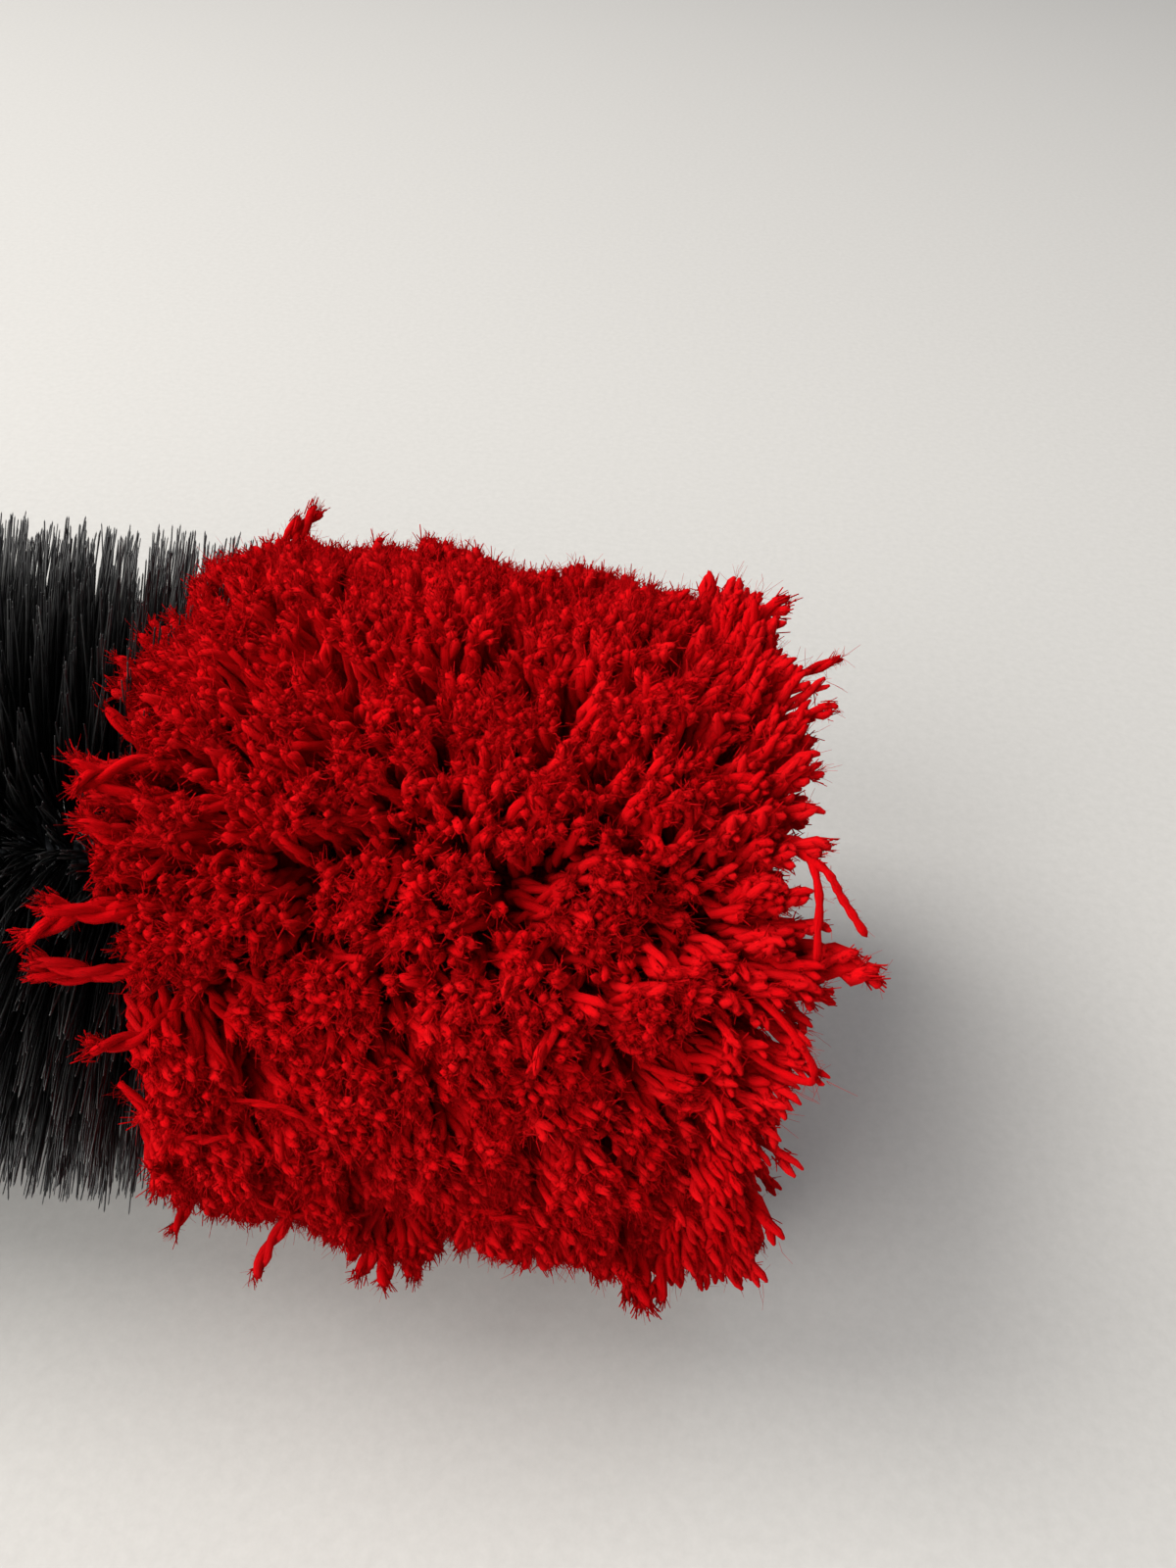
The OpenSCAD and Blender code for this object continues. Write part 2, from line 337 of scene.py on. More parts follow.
def skin_places(paths, sides):
    """Where each point of a tube is on its skin: round it (x, y) and along it (z), so that a
    noise over them makes fibres that wind slowly along the tube. Every tube gets its own."""
    count, rings, _ = paths.shape
    steps = np.linalg.norm(np.diff(paths, axis=1), axis=2) / MM
    along = np.concatenate([np.zeros((count, 1)), np.cumsum(steps, 1)], 1)
    turn = np.arange(sides) * 2 * np.pi / sides + 0.5 * along[..., None]
    place = np.stack([np.cos(turn), np.sin(turn), np.broadcast_to(0.22 * along[..., None], turn.shape)], -1)
    ends = np.stack([along[:, 0], along[:, -1]], 1)
    ends = np.stack([0 * ends, 0 * ends, 0.22 * ends], -1)
    own = (np.arange(count) * 7.31 % 97)[:, None, None] * np.array([1.0, 0.0, 1.7])
    return (np.concatenate([place.reshape(count, -1, 3), ends], 1) + own).reshape(-1, 3)


class Pile:
    """Gathers tubes, with a tone for each, and turns them into one mesh piece."""

    def __init__(self):
        self.points, self.quads, self.triangles, self.tones, self.skins, self.count = [], [], [], [], [], 0

    def grow(self, paths, radii, across, sides, end_length, tone):
        """tone is one number per tube, or one per ring."""
        points, quads, triangles, size = tubes(paths, radii, across, sides, end_length)
        count, rings, _ = paths.shape
        self.skins.append(skin_places(paths, sides))
        tone = np.broadcast_to(tone if np.ndim(tone) == 2 else tone[:, None], (count, rings))
        by_ring = np.repeat(tone, sides, axis=1)
        ends = np.stack([tone[:, 0], tone[:, -1]], 1)
        self.tones.append(np.concatenate([by_ring, ends], 1).ravel())
        self.points.append(points)
        self.quads.append(quads + self.count)
        self.triangles.append(triangles + self.count)
        self.count += len(points)

    def piece(self, name, material, slot, replaces=None):
        points = np.concatenate(self.points)
        points[:, 2] = np.maximum(points[:, 2], LOWEST)
        quads = np.concatenate(self.quads)
        triangles = np.concatenate(self.triangles)
        mesh = bpy.data.meshes.new(name)
        mesh.vertices.add(len(points))
        mesh.vertices.foreach_set("co", points.astype(np.float32).ravel())
        corners = np.concatenate([quads.ravel(), triangles.ravel()]).astype(np.int32)
        mesh.loops.add(len(corners))
        mesh.loops.foreach_set("vertex_index", corners)
        starts = np.concatenate([
            np.arange(len(quads)) * 4,
            len(quads) * 4 + np.arange(len(triangles)) * 3,
        ]).astype(np.int32)
        mesh.polygons.add(len(starts))
        mesh.polygons.foreach_set("loop_start", starts)
        mesh.update(calc_edges=True)
        mesh.shade_smooth()
        tone = mesh.attributes.new("tone", "FLOAT", "POINT")
        tone.data.foreach_set("value", np.concatenate(self.tones).astype(np.float32))
        skin = mesh.attributes.new("skin", "FLOAT_VECTOR", "POINT")
        skin.data.foreach_set("vector", np.concatenate(self.skins).astype(np.float32).ravel())
        mesh.materials.append(material)
        return add_piece(name, mesh, replaces)


def add_piece(name, mesh, replaces=None):
    piece = bpy.data.objects.new(name, mesh)
    bpy.context.scene.collection.objects.link(piece)
    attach(piece, WAND)
    if replaces:
        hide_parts(replaces)
    return piece


def around(x, angle, radius):
    """Points about the stem. Angle 0 points along +Y, and a quarter turn points up."""
    x, angle, radius = np.broadcast_arrays(x, angle, radius)
    return np.stack([x, radius * np.cos(angle), AXIS_Z + radius * np.sin(angle)], -1)


def tangent(angle):
    """The direction round the stem at an angle."""
    return np.stack([np.zeros_like(angle), -np.sin(angle), np.cos(angle)], -1)


def step(x, low, high):
    """0 below low, 1 above high, and smooth between."""
    t = np.clip((x - low) / (high - low), 0, 1)
    return t * t * (3 - 2 * t)


def swell(angle, middle, width):
    """1 at an angle in degrees, fading to 0 either side."""
    off = (np.degrees(angle) - middle + 180) % 360 - 180
    return np.exp(-(off / width) ** 2)


def edge_place(angle, place, swells):
    """How far an edge of the pile stands, in metres: place in mm, with swells round the stem."""
    for middle, width, much in swells:
        place = place + much * swell(angle, middle, width)
    return place * MM


def spread(count, seed):
    """Even, unordered pairs of numbers from 0 to 1."""
    i = np.arange(count) + seed * 0.37
    return np.mod(0.5 + i * 0.7548776662, 1), np.mod(0.5 + i * 0.5698402910, 1)


# ---------------------------------------------------------------- bristles
BRISTLES_A_ROW = 2300
BRISTLE_THICK = 0.15 * MM
BRISTLE_ROOT_R = 2.0 * MM
COMBED = 0.36
COMBED_TOWARDS = math.radians(131)
TUFT_ANGLE = math.radians(3.6)
TUFTS_ROUND, TUFTS_ALONG = 102, 64
# How far a tip is drawn to its tuft's middle, how short a filament may be cut, and its bow, in mm
TUFT_PULL, SHORTEST_CUT, BRISTLE_BOW = 0.5, 9, 0.6
# Where the pom lies over the front bristles: place in mm, and (angle, width, mm) round the stem
POM_OVER, POM_OVER_SWELLS = -1.5, [(50, 30, 3.5)]
POM_OVER_LENGTH, POM_OVER_DEPTH = 5.5 * MM, 7 * MM


def bristle_row(number, node, material):
    """Filaments held between the twisted wires: two sheets of them wind round the stem.
    Handling has combed the sheets forward on one side of the stem and back on the other."""
    rng = np.random.default_rng(100 + number)
    low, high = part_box(node)[0].x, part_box(node)[1].x
    count = BRISTLES_A_ROW
    angle = rng.uniform(0, 2 * np.pi, count)
    half = TWIST_LEAD / 2
    first = np.ceil((low - TWIST_LEAD * angle / (2 * np.pi)) / half)
    sheets = int(round((high - low) / half))
    x = TWIST_LEAD * angle / (2 * np.pi) + half * (first + rng.integers(0, sheets, count))
    tuft = np.floor(angle / TUFT_ANGLE).astype(int) * TUFTS_ALONG
    tuft = tuft + np.round(x / half).astype(int) % TUFTS_ALONG
    own = np.random.default_rng(7).normal(0, 1, (TUFTS_ROUND * TUFTS_ALONG, 4))[tuft]
    middle = (np.floor(angle / TUFT_ANGLE) + 0.5) * TUFT_ANGLE
    stray = np.radians(rng.normal(0, 0.4, count) + 0.9 * own[:, 1])
    tip_angle = angle + TUFT_PULL * (middle - angle) + stray
    short = np.minimum(rng.exponential(2.3, count), SHORTEST_CUT)
    tip_r = BRISTLE_R + (0.5 - short + 0.45 * own[:, 2]) * MM
    fade = 0.2 + 0.8 * step(x, PILE_BACK_X + 15 * MM, POM_BACK_X - 45 * MM)
    combed = COMBED * fade * tip_r * np.cos(tip_angle - COMBED_TOWARDS)
    loose = 1 + 2.4 * (1 - fade) + 1.3 * step(x, POM_BACK_X - 18 * MM, POM_BACK_X - 6 * MM)
    tip_x = x + combed + (rng.normal(0, 0.22, count) + 0.36 * own[:, 0]) * loose * MM
    under_x = POM_BACK_X + edge_place(tip_angle, POM_OVER, POM_OVER_SWELLS)
    under = step(tip_x, under_x, under_x + POM_OVER_LENGTH)
    tip_r = tip_r - POM_OVER_DEPTH * under
    room = (AXIS_Z - 0.15 * MM) / np.maximum(-np.sin(tip_angle), 1e-6)
    tip_r = np.where(np.sin(tip_angle) < 0, np.minimum(tip_r, room), tip_r)
    s = np.array([0.0, 0.4, 0.75, 1.0])
    radius = BRISTLE_ROOT_R + (tip_r - BRISTLE_ROOT_R)[:, None] * s
    bow = rng.normal(0, BRISTLE_BOW * MM, count)[:, None] * np.sin(np.pi * s)
    paths = around(x[:, None] + (tip_x - x)[:, None] * s + bow,
                   angle[:, None] + (tip_angle - angle)[:, None] * s ** 1.4, radius)
    thick = BRISTLE_THICK * rng.uniform(0.75, 1.2, count)[:, None] * np.array([1.0, 1.0, 0.95, 0.5])
    pile = Pile()
    pile.grow(paths, thick, tangent(angle), 3, 0.25 * MM, np.clip(rng.normal(0.3, 0.22, count), 0, 1))
    pile.piece(f"bristles_{number}", material, "bristle", node)


# ---------------------------------------------------------------- yarn
PLY_R = 0.43 * MM
PLY_OFF = 0.33 * MM
PLY_LEAD = 6.5 * MM
CLUMP = 8.6 * MM
NOSE_X = TIP_X - 11 * MM
FLOP = 1.0 * MM
BODY_TIP_X = TIP_X - 6.0 * MM
# Where the rings of a strand stand along it: the last ones are close, to round off the cut end
NEAR_END = (0.955, 0.985, 1.0)
END_WIDTHS = (1.05, 0.85, 0.4)
# Swellings and hollows of the pom: (X in mm behind the tip, angle, width in mm, height in mm)
SHAPE = [
    (37, 57, 9.0, 0.8),
    (20, 57, 6.0, -1.6),
    (57, 57, 5.0, -2.2),
    (19, 57, 5.0, -2.6),
    (8, 57, 6.0, -2.0),
    (46, 204, 5.0, -1.9),
    (34, 204, 5.5, 3.4),
    (28, 204, 2.6, -2.0),
    (13, 204, 13.0, 1.5),
    (9, 204, 3.0, 2.0),
    (11, 131, 3.6, -4.5),
]


def clump_pull(x, angle, rng, gather=0.25):
    """Draws strand tips together into soft clumps, so that crevices open between them.
    Returns the new x and angle, and how proud each tip stands."""
    length, turn = TIP_X - POM_BACK_X, 2 * np.pi * POM_R
    count = int(length * turn / CLUMP ** 2)
    u, v = spread(count, 3)
    rough = np.random.default_rng(11)
    centre_x = POM_BACK_X + length * u + rough.normal(0, 1.2 * MM, count)
    centre_a = 2 * np.pi * v + rough.normal(0, 1.2 * MM, count) / POM_R
    proud = rough.normal(0, 0.8 * MM, count)
    dx = centre_x[None] - x[:, None]
    da = (centre_a[None] - angle[:, None] + np.pi) % (2 * np.pi) - np.pi
    far = np.hypot(dx, da * POM_R)
    near = far.argmin(1)
    pick = np.arange(len(x)), near
    fall = (far[pick] / (0.55 * CLUMP)) ** 2
    height = proud[near] - 0.75 * MM * np.minimum(fall, 1.6) + rng.normal(0, 0.4 * MM, len(x))
    return x + gather * dx[pick], angle + gather * da[pick], height


def shape_height(x, angle):
    """How far the pom's surface stands out of round, by the swellings and hollows of SHAPE."""
    height = np.zeros_like(x)
    for behind, where, width, much in SHAPE:
        off_x = x - (TIP_X - behind * MM)
        off_a = ((angle - math.radians(where) + np.pi) % (2 * np.pi) - np.pi) * POM_R
        height += much * MM * np.exp(-(off_x ** 2 + off_a ** 2) / (2 * (width * MM / 1.6) ** 2))
    return height


def ring_places(rings):
    """Where a strand's rings stand along it, from 0 at the root to 1 at the cut end."""
    return np.concatenate([np.linspace(0, 0.90, rings - len(NEAR_END)), NEAR_END])[None]


def keep_above(paths, room, rng):
    """Bends what would go through the resting plane outward along it."""
    lost = np.maximum(room - paths[..., 2], 0)
    outward = np.where(paths[:, -1:, 1] < 0, -1.0, 1.0)
    paths[..., 1] += outward * lost * rng.uniform(0.8, 1.3, (len(paths), 1))
    paths[..., 2] = np.maximum(paths[..., 2], room)
    return paths


def grow_yarn(pile, fray, paths, across, rng, thick, tone=None, fibres=7, splay=0.55):
    """Two plies twisted along each path, which fray at the cut end into fine fibres."""
    count, rings, _ = paths.shape
    tone = np.clip(rng.normal(0.48, 0.14, count), 0.05, 0.95) if tone is None else tone
    s = ring_places(rings)
    _, side, out = axes_along(paths, across)
    length = np.linalg.norm(np.diff(paths, axis=1), axis=2).sum(1)
    twist = 2 * np.pi * s * (length / PLY_LEAD)[:, None] + rng.uniform(0, 2 * np.pi, count)[:, None]
    off = PLY_OFF * thick[:, None] * (1 + 0.35 * step(s, 0.85, 1.0))
    turning = np.cos(twist)[..., None] * side + np.sin(twist)[..., None] * out
    # Each strand's tone is darkened towards its root, as painted shade deep in the pile, and made a little
    # lighter near its cut end.
    shade = tone[:, None] - 0.25 * step(1 - s, 0.30, 0.9) + 0.10 * step(s, 0.8, 1.0)
    ends = np.concatenate([np.ones(rings - len(NEAR_END)), END_WIDTHS])
    for sign in (1, -1):
        centre = paths + sign * off[..., None] * turning
        lumps = 1 + 0.05 * rng.normal(0, 1, (count, rings))
        pile.grow(centre, PLY_R * thick[:, None] * lumps * ends, across, 4, 0.12 * MM, shade)
        grow_cut_end(fray, centre, thick, tone, rng, fibres, splay)


def grow_cut_end(fray, centre, thick, tone, rng, fibres, splay):
    """Fine fibres that spread from the cut end of a ply."""
    heading = np.repeat(unit(centre[:, -1] - centre[:, -4]), fibres, 0)
    wide = np.repeat(thick, fibres)[:, None] * MM
    start = np.repeat(centre[:, -3], fibres, 0) + rng.normal(0, 0.24, heading.shape) * wide
    way = unit(heading + rng.normal(0, splay, heading.shape))
    s = np.array([0.0, 1.0])[None, :, None]
    long = (rng.uniform(0.6, 1.5, len(wide))[:, None] * wide)[:, None]
    paths = start[:, None] + long * s * way[:, None]
    paths[..., 2] = np.maximum(paths[..., 2], 0.3 * MM)
    radii = wide * rng.uniform(0.05, 0.09, (len(wide), 1)) * np.array([[1.0, 0.7]])
    lighter = np.repeat(tone, fibres) + 0.02 + rng.normal(0, 0.08, len(wide))
    fray.grow(paths, radii, unit(np.cross(way, [0.31, 0.52, 0.79])), 3, 0.10 * MM, np.clip(lighter, 0, 1))


def grow_fuzz(fray, roots, outward, count, rng, length=(0.6, 1.8), thick=0.024, tone=0.7):
    """Single curled fibres that stand off the yarn."""
    pick = rng.integers(0, len(roots), count)
    start = roots[pick]
    way = unit(outward[pick] + rng.normal(0, 0.75, (count, 3)))
    curl = unit(rng.normal(0, 1, (count, 3)))
    long = rng.uniform(*length, count)[:, None, None] * MM
    s = np.linspace(0, 1, 3)[None, :, None]
    paths = start[:, None] + long * (s * way[:, None] + 0.7 * s ** 2 * curl[:, None])
    paths[..., 2] = np.maximum(paths[..., 2], 0.2 * MM)
    radii = thick * MM * np.broadcast_to(np.linspace(1, 0.5, 3), (count, 3))
    fray.grow(paths, radii, unit(np.cross(way, curl)), 3, 0.05 * MM,
              np.clip(rng.normal(tone, 0.12, count), 0, 1))


def curve_between(x, angle, tip_x, tip_a, tip_r, root_r, rings, rng, sway=0.5):
    """Paths from root to tip that lean over late, sway on the way and flop at the cut end."""
    s = ring_places(rings)
    bend = s ** 1.6
    radius = root_r + (tip_r - root_r)[:, None] * s
    phase = rng.uniform(0, np.pi, (len(x), 1))
    off = rng.normal(0, sway * MM, (len(x), 2))[:, :, None] * np.sin(np.pi * s * 1.5 + phase)[:, None]
    flop = rng.normal(0, 1, (len(x), 2))[:, :, None] * FLOP * s[:, None] ** 5
    off = off + flop
    along = x[:, None] + (tip_x - x)[:, None] * bend + off[:, 0]
    turn = angle[:, None] + (tip_a - angle)[:, None] * bend + off[:, 1] / POM_R
    return around(along, turn, radius)


YARNS_A_ROW = 1500
YARN_ROOT_R = 24 * MM
FUZZ_A_ROW = 8500
# How far the pom rounds off towards its tip and towards its back edge
SHOULDER, BACK_RIM = 2.2 * MM, 1.2 * MM
# The pom's back edge: place in mm, and (angle, width, mm) where it stands back or forward
BACK_EDGE, BACK_SWELLS = -1.0, [(102, 27, -4.0), (172, 30, 6.3)]


def yarn_row(number, node, material):
    """Strands that stand out from the stem, with their cut ends drawn into clumps."""
    rng = np.random.default_rng(200 + number)
    low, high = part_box(node)[0].x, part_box(node)[1].x
    u, v = spread(YARNS_A_ROW, number)
    x = low + (high - low) * u + rng.normal(0, 0.3 * MM, len(u))
    angle = 2 * np.pi * v + rng.normal(0, 0.35 * MM, len(u)) / POM_R
    back_x = POM_BACK_X + edge_place(angle, BACK_EDGE, BACK_SWELLS)
    squeeze = (BODY_TIP_X - back_x) / (TUFT_X - POM_BACK_X)
    tip_x, tip_a, proud = clump_pull(back_x + squeeze * (x - POM_BACK_X), angle, rng)
    shoulder = SHOULDER * step(tip_x, BODY_TIP_X - 5 * MM, BODY_TIP_X + 1 * MM)
    rim = BACK_RIM * step(-tip_x, -POM_BACK_X - 5 * MM, -POM_BACK_X)
    tip_r = POM_R - 0.3 * MM + proud + shape_height(tip_x, tip_a) - shoulder - rim
    paths = curve_between(x, angle, tip_x, tip_a, tip_r, YARN_ROOT_R, 11, rng)
    paths = keep_above(paths, rng.uniform(0.9, 2.2, (len(x), 1)) * MM, rng)
    pile, fray = Pile(), Pile()
    grow_yarn(pile, fray, paths, tangent(angle), rng, rng.uniform(0.85, 1.15, len(x)))
    outward = unit(paths[:, -1] - paths[:, -4])
    grow_fuzz(fray, paths[:, -4:].reshape(-1, 3), np.repeat(outward, 4, 0), 1500, rng)
    fuzz = Pile()
    grow_fuzz(fuzz, paths[:, -6:].reshape(-1, 3), np.repeat(outward, 6, 0), FUZZ_A_ROW, rng,
              length=(0.6, 1.8), thick=0.03, tone=0.55)
    pile.piece(f"yarn_{number}", material, "yarn", node)
    fray.piece(f"yarn_fray_{number}", material, "yarn")
    fuzz.piece(f"yarn_fuzz_{number}", material, "yarn")


# The core's radius at its ends and how much more it has between them, in mm, and the depth of its
# lumps as a share of its radius
CORE_END_R, CORE_SWELL, CORE_LUMPS = 2, 22.5, 0.05


def pom_core(material):
    """The crowded roots of the strands, as one lumpy body deep inside the pom, in the darkest red as
    painted shade.
    """
    rings, sides = 60, 120
    s = np.linspace(0, 1, rings)
    back_x, front_x = POM_BACK_X + 2 * MM, NOSE_X - 1.5 * MM
    x = back_x + (front_x - back_x) * s
    dome = np.minimum(np.sqrt(1 - (2 * s - 1) ** 2) * 1.5, 1.0)
    radius = (CORE_END_R + CORE_SWELL * dome) * MM
    pile = Pile()
    path = np.stack([x, 0 * x, AXIS_Z + 0 * x], -1)[None]
    # Tone 0.05 gives the core the darkest red: painted shade deep inside the pom.
    pile.grow(path, radius[None], np.array([[0.0, 1.0, 0.0]]), sides, 0.5 * MM, np.array([0.05]))
    points = pile.points[0]
    turn = np.arctan2(points[:, 2] - AXIS_Z, points[:, 1])
    far = points[:, 0] / MM
    lumps = np.sin(9 * turn + 0.9 * far) * np.sin(1.3 * far + 4 * turn)
    lumps = lumps + 0.6 * np.sin(23 * turn - 2.1 * far)
    grown = 1 + CORE_LUMPS * lumps
    points[:, 1] *= grown
    points[:, 2] = AXIS_Z + (points[:, 2] - AXIS_Z) * grown
    pile.piece("yarn_core", material, "yarn")


TIP_YARNS = 1150
TIP_RINGS = 21
TIP_ROOT_R = 2.4 * MM
# Shares of the tip's strands: those below one fall back, and those above the other fill the face
FALL_BACK, FILL_FACE = 0.07, 0.56
# The rim of the tip's face: place in mm, and (angle, width, mm) where it stands back
TIP_EDGE, TIP_SWELLS = 1.0, [(62, 37, -7.4), (120, 11, -3.0), (174, 20, -4.0)]
DIMPLE_DEPTH, DIMPLE_R = 2.5 * MM, 8 * MM


def tip_places(rng):
    """Roots and tips of the last strands. Most splay forward and fill the tip's face, with a
    dimple in its middle, and a few fall back over the strands behind."""
    count = TIP_YARNS
    u, v = spread(count, 9)
    angle = 2 * np.pi * v
    back, face = u < FALL_BACK, u > FILL_FACE
    facing = swell(angle, 131, 34)
    lean = np.where(back, rng.uniform(-15, -1 - 2 * facing, count), rng.uniform(6 + 4 * facing, 24, count))
    x = NOSE_X + rng.uniform(-2.0, 1.5, count) * MM + np.where(face, 3.0 * MM, 0)
    rim_r = POM_R - 0.5 * MM + rng.normal(0, 0.8 * MM, count) - np.where(back, 2.0 * MM, 0)
    tip_r = np.where(face, (rim_r - 2 * MM) * np.sqrt(rng.uniform(0, 1, count)), rim_r)
    tip_a = angle + rng.normal(0, 0.05, count)
    edge_x = TIP_X + edge_place(angle, TIP_EDGE, TIP_SWELLS)
    middle_x = TIP_X - 0.5 * MM - DIMPLE_DEPTH * np.exp(-(tip_r / DIMPLE_R) ** 2)
    outer = (tip_r / POM_R) ** 2
    front_x = np.where(face, middle_x + (edge_x - 0.8 * MM - middle_x) * outer, edge_x)
    front_x = front_x + rng.normal(0, 0.7 * MM, count)
    tip_x = np.where(face, front_x, np.minimum(x + tip_r * np.tan(np.radians(lean)), front_x))
    tip_r = tip_r + np.where(face, 0, shape_height(tip_x, tip_a))
    return x, angle, tip_x, tip_a, tip_r


def tip_tuft(material):
    """The strands that spring from the nose of the stem and close the tip."""
    rng = np.random.default_rng(300)
    x, angle, tip_x, tip_a, tip_r = tip_places(rng)
    paths = curve_between(x, angle, tip_x, tip_a, tip_r, TIP_ROOT_R, TIP_RINGS, rng, sway=0.8)
    paths = keep_above(paths, rng.uniform(0.9, 2.2, (TIP_YARNS, 1)) * MM, rng)
    pile, fray = Pile(), Pile()
    grow_yarn(pile, fray, paths, tangent(angle), rng, rng.uniform(0.8, 1.15, TIP_YARNS))
    outward = unit(paths[:, -1] - paths[:, -4])
    grow_fuzz(fray, paths[:, -5:].reshape(-1, 3), np.repeat(outward, 5, 0), 2400, rng)
    fuzz = Pile()
    flank_way = np.repeat(unit(paths[:, 12] - paths[:, 10]), paths.shape[1] - 6, 0)
    grow_fuzz(fuzz, paths[:, 6:].reshape(-1, 3), flank_way, FUZZ_A_ROW, rng,
              length=(0.7, 1.8), thick=0.026, tone=0.6)
    fuzz.piece("yarn_fuzz_tip", material, "yarn")
    pile.piece("yarn_tuft", material, "yarn", "yarn_tip")
    fray.piece("yarn_fray_tip", material, "yarn")


# Strands that stand out from the rest: root (mm behind the tip, radius), tip (mm behind the tip,
# angle, radius), bend of the angle on the way, and thickness. A minus sign is past the tip.
STRAYS = [
    ((14, 20, 84), (-2.5, 89, 35.0), 3, 0.7),
    ((14, 22, 80), (2.0, 79, 36.5), -8, 1.2),
    ((12, 14, 98), (-1.0, 101, 36.0), -6, 0.95),
    ((12, 14, 104), (-0.5, 110, 35.5), 5, 0.9),
    ((12, 12, 120), (-0.5, 121, 35.6), -5, 1.2),
    ((11, 8, 132), (-5.5, 136, 36.0), 4, 1.5),
    ((11, 8, 130), (-4.0, 134, 35.4), 3, 1.1),
    ((11, 12, 138), (-1.5, 138, 35.0), 7, 1.1),
    ((11, 10, 142), (-0.5, 146, 35.5), -7, 0.75),
    ((11, 10, 144), (-1.0, 148, 35.0), 8, 0.75),
    ((12, 12, 152), (3.5, 158, 35.0), 5, 1.0),
    ((11, 6, 134), (23.0, 143, 36.5), -14, 0.85),
    ((11, 6, 140), (20.5, 152, 37.0), -16, 0.9),
    ((12, 6, 122), (22.0, 118, 36.5), 10, 1.0),
    ((57, 24, 62), (49.2, 57, 38.8), -8, 1.0),
    ((57, 24, 60), (51.5, 57, 37.8), -5, 0.8),
    ((40, 26, 200), (46.5, 206, 40.0), -5, 1.0),
    ((33, 24, 200), (36.0, 205, 39.0), 3, 1.1),
    ((33, 24, 202), (33.5, 204, 39.5), -3, 1.1),
    ((31, 24, 200), (31.0, 206, 38.8), 4, 1.0),
    ((9, 24, 200), (9.0, 204, 39.0), 3, 1.3),
    ((11, 24, 200), (10.0, 204, 38.2), 3, 1.2),
    ((7, 24, 200), (7.5, 204, 38.2), 3, 1.2),
    ((54, 24, 203), (55.0, 206, 37.0), 5, 0.9),
    ((49, 28, 119), (58.5, 119, 36.6), 8, 1.1),
    ((50, 28, 116), (58.0, 123, 37.0), -6, 1.0),
    ((50, 28, 126), (57.5, 126, 36.6), 6, 1.1),
    ((49, 28, 139), (60.8, 142, 36.8), -7, 1.1),
    ((49, 28, 145), (60.0, 144, 36.6), 5, 1.0),
    ((50, 28, 136), (59.0, 137, 37.0), 4, 1.1),
    ((50, 28, 141), (60.5, 146, 36.4), 7, 0.9),
    ((50, 28, 152), (55.5, 155, 36.6), 5, 1.1),
]
# Single plies that came loose near the tip: each is points (mm behind the tip, angle, radius)
LOOSE_PLIES = [
    [(4, 116, 31.0), (0.6, 121, 34.0), (-0.4, 126, 35.5),
     (-0.6, 131, 35.5), (-0.6, 137, 34.0), (3, 141, 30.0)],
    [(2, 120, 33.0), (-0.8, 123.5, 35.5), (-2.2, 127, 36.0), (-4.0, 131, 36.5)],
    [(5, 140, 30.0), (1.5, 143, 34.0), (-1.2, 148, 35.5),
     (-1.0, 150.5, 35.5), (2.5, 150, 33.0), (6, 147, 29.0)],
]
LOOSE_RINGS, LOOSE_R = 24, 0.34 * MM
LYING_YARNS = 4
STRAY_RINGS = 26


def smooth_through(at, values):
    """A smooth curve through values at 0, 1, 2 and so on."""
    slopes = np.gradient(values)
    i = np.minimum(at.astype(int), len(values) - 2)
    t = at - i
    a, b, m, n = values[i], values[i + 1], slopes[i], slopes[i + 1]
    return (2 * t ** 3 - 3 * t ** 2 + 1) * a + (t ** 3 - 2 * t ** 2 + t) * m \
        + (3 * t ** 2 - 2 * t ** 3) * b + (t ** 3 - t ** 2) * n


def standing_strays(pile, fray, rng, s):
    """The strands of STRAYS, which stick out of the outline."""
    for root, tip, bend, thick in STRAYS:
        x = TIP_X - (root[0] + (tip[0] - root[0]) * s ** 1.15) * MM
        turn = np.radians(root[2] + (tip[1] - root[2]) * s + 0.5 * bend * np.sin(np.pi * s))
        wave = 0.25 * np.sin(9 * s + rng.uniform(0, 6))
        paths = around(x + wave * MM, turn, (root[1] + (tip[2] - root[1]) * s ** 0.8) * MM)
        grow_yarn(pile, fray, paths, tangent(turn[:, 0]), rng, np.array([thick]), fibres=14, splay=0.25)
        outward = unit(paths[:, -1] - paths[:, -4])
        grow_fuzz(fray, paths[:, -9:].reshape(-1, 3), np.repeat(outward, 9, 0), 70, rng, length=(0.4, 1.2))


def loose_plies(pile, fray, rng):
    """The thin single plies of LOOSE_PLIES, bent round at the edge of the tip."""
    for points in LOOSE_PLIES:
        behind, turn, radius = np.array(points).T
        at = np.linspace(0, len(points) - 1, LOOSE_RINGS)
        bent = [smooth_through(at, values) for values in (behind, turn, radius)]
        path = around(TIP_X - bent[0] * MM, np.radians(bent[1]), bent[2] * MM)[None]
        thin = np.full((1, LOOSE_RINGS), LOOSE_R) * (1 + 0.16 * np.sin(np.arange(LOOSE_RINGS) * 2.1))
        pile.grow(path, thin, np.array([[0.3, 0.5, 0.8]]), 6, 0.3 * MM, np.array([0.25]))
        grow_fuzz(fray, path[0], unit(path[0] - POM_MIDDLE), 90, rng, length=(0.3, 1.0))


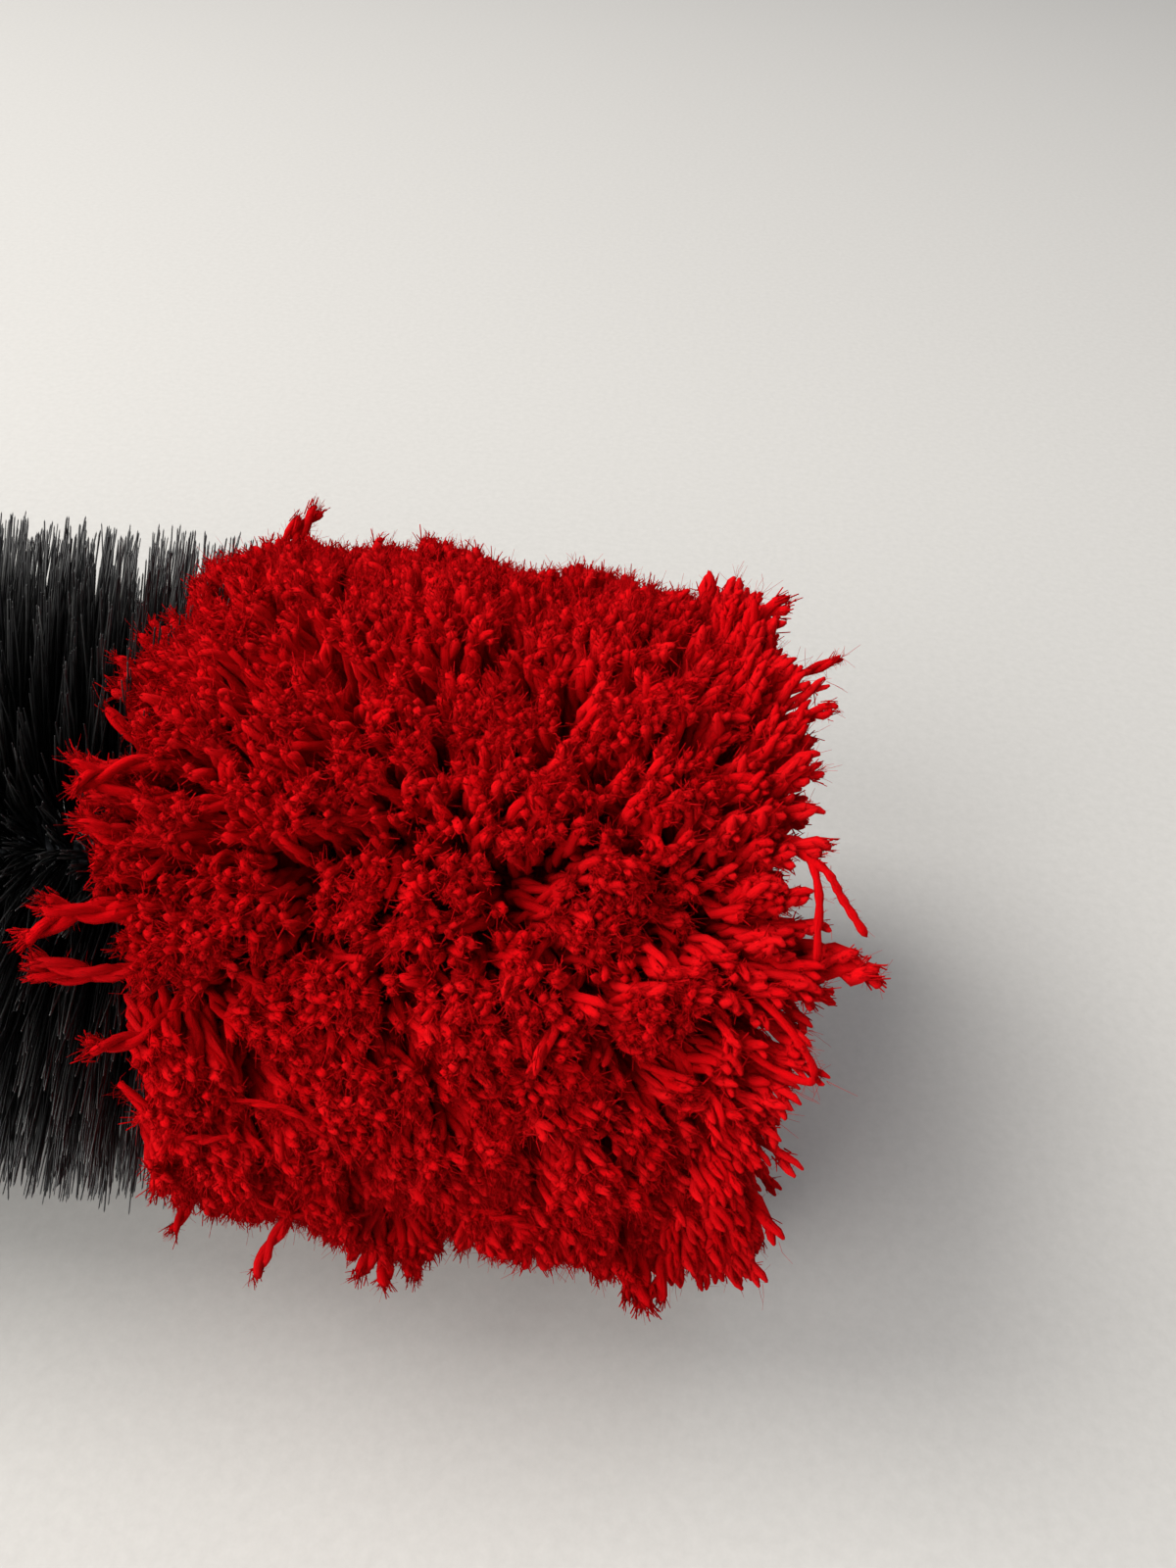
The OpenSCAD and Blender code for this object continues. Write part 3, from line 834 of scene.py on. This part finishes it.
def lying_yarns(pile, fray, rng, s):
    """Thin strands that lie along the pom's surface, low on the near side."""
    count = LYING_YARNS
    x = POM_BACK_X + rng.uniform(1, 30, count)[:, None] * MM
    angle = np.radians(rng.uniform(155, 184, count))[:, None]
    far = rng.uniform(0.7, 1.2, count)[:, None]
    wander = rng.normal(0, 1, (3, count, 1))
    along = x + far * (17 * s + 0.9 * np.sin(5 * s + wander[0])) * MM
    turn = angle + far * np.radians(15 * s + 3.0 * np.sin(6 * s + wander[1]))
    radius = POM_R + (-1.5 + 1.3 * np.sin(3.1 * s) + 0.4 * wander[2]) * MM
    paths = around(along, turn, radius)
    grow_yarn(pile, fray, paths, unit(paths[:, 8] - POM_MIDDLE), rng, rng.uniform(0.5, 0.8, count))
    outward = unit(paths - POM_MIDDLE).reshape(-1, 3)
    grow_fuzz(fray, paths.reshape(-1, 3), outward, 900, rng)


def stray_strands(material):
    """Every strand that isn't part of a row or the tuft. One draw serves all three kinds."""
    rng = np.random.default_rng(400)
    s = ring_places(STRAY_RINGS)
    pile, fray = Pile(), Pile()
    standing_strays(pile, fray, rng, s)
    loose_plies(pile, fray, rng)
    lying_yarns(pile, fray, rng, s)
    pile.piece("yarn_strays", material, "yarn")
    fray.piece("yarn_fray_strays", material, "yarn")


# ---------------------------------------------------------------- stem
WIRE_RINGS_A_TURN, EYE_RINGS = 14, 18


def stem_wire(material):
    """One wire folded at the nose: two legs wind round each other all along the stem."""
    rings = int((TUFT_X - STEM_LO.x) / TWIST_LEAD * WIRE_RINGS_A_TURN)
    x = np.linspace(STEM_LO.x + 0.3 * MM, TUFT_X, rings)
    angle = 2 * np.pi * (x - STEM_LO.x) / TWIST_LEAD
    start = np.pi - math.asin(HELIX_R / EYE_R)
    sweep = np.linspace(start, -start, EYE_RINGS)[1:-1]
    eye_x = TUFT_X + math.sqrt(EYE_R ** 2 - HELIX_R ** 2)
    path = np.concatenate([
        around(x, angle, HELIX_R),
        around(eye_x + EYE_R * np.cos(sweep), angle[-1], EYE_R * np.sin(sweep)),
        around(x[::-1], angle[::-1] + np.pi, HELIX_R),
    ])[None]
    pile = Pile()
    pile.grow(path, np.full(path.shape[:2], WIRE_R), tangent(angle[-1:]), 12, 0.2 * MM, np.array([0.5]))
    pile.piece("stem_wire", material, "stem_wire", "core_wire")


# ---------------------------------------------------------------- the rest of the wand
def finish_cad_nodes():
    plastic, rubber = plastic_material(), rubber_material()
    plated = metal_material("plated", (0.74, 0.75, 0.77), 0.22, 900)
    satin = metal_material("satin_steel", (0.60, 0.61, 0.63), 0.36, 1500)
    brass = metal_material("crimp_brass", (0.72, 0.53, 0.26), 0.36, 1200)
    looks = {
        "handle_body": plastic, "end_cap": plastic, "grip_sleeve": rubber, "ferrule": plated,
        "hang_ring": plated, "ferrule_tacks": satin, "cap_pin": satin, "wire_crimp": brass,
    }
    for node, material in looks.items():
        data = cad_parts[node].data
        data.materials.clear()
        data.materials.append(material)


def make_floor():
    mesh = bpy.data.meshes.new("floor")
    half = FLOOR_HALF
    corners = [(-half, -half, 0), (half, -half, 0), (half, half, 0), (-half, half, 0)]
    mesh.from_pydata(corners, [], [(0, 1, 2, 3)])
    mesh.materials.append(paper_material())
    floor = bpy.data.objects.new("floor", mesh)
    bpy.context.scene.collection.objects.link(floor)


make_camera()
make_lights()
make_floor()
finish_cad_nodes()
stem_wire(metal_material("stem_steel", (0.56, 0.57, 0.58), 0.3, 1400))
black, red = bristle_material(), yarn_material()
for number, node in enumerate(BRISTLE_ROWS, 1):
    bristle_row(number, node, black)
for number, node in enumerate(YARN_ROWS, 1):
    yarn_row(number, node, red)
pom_core(red)
tip_tuft(red)
stray_strands(red)
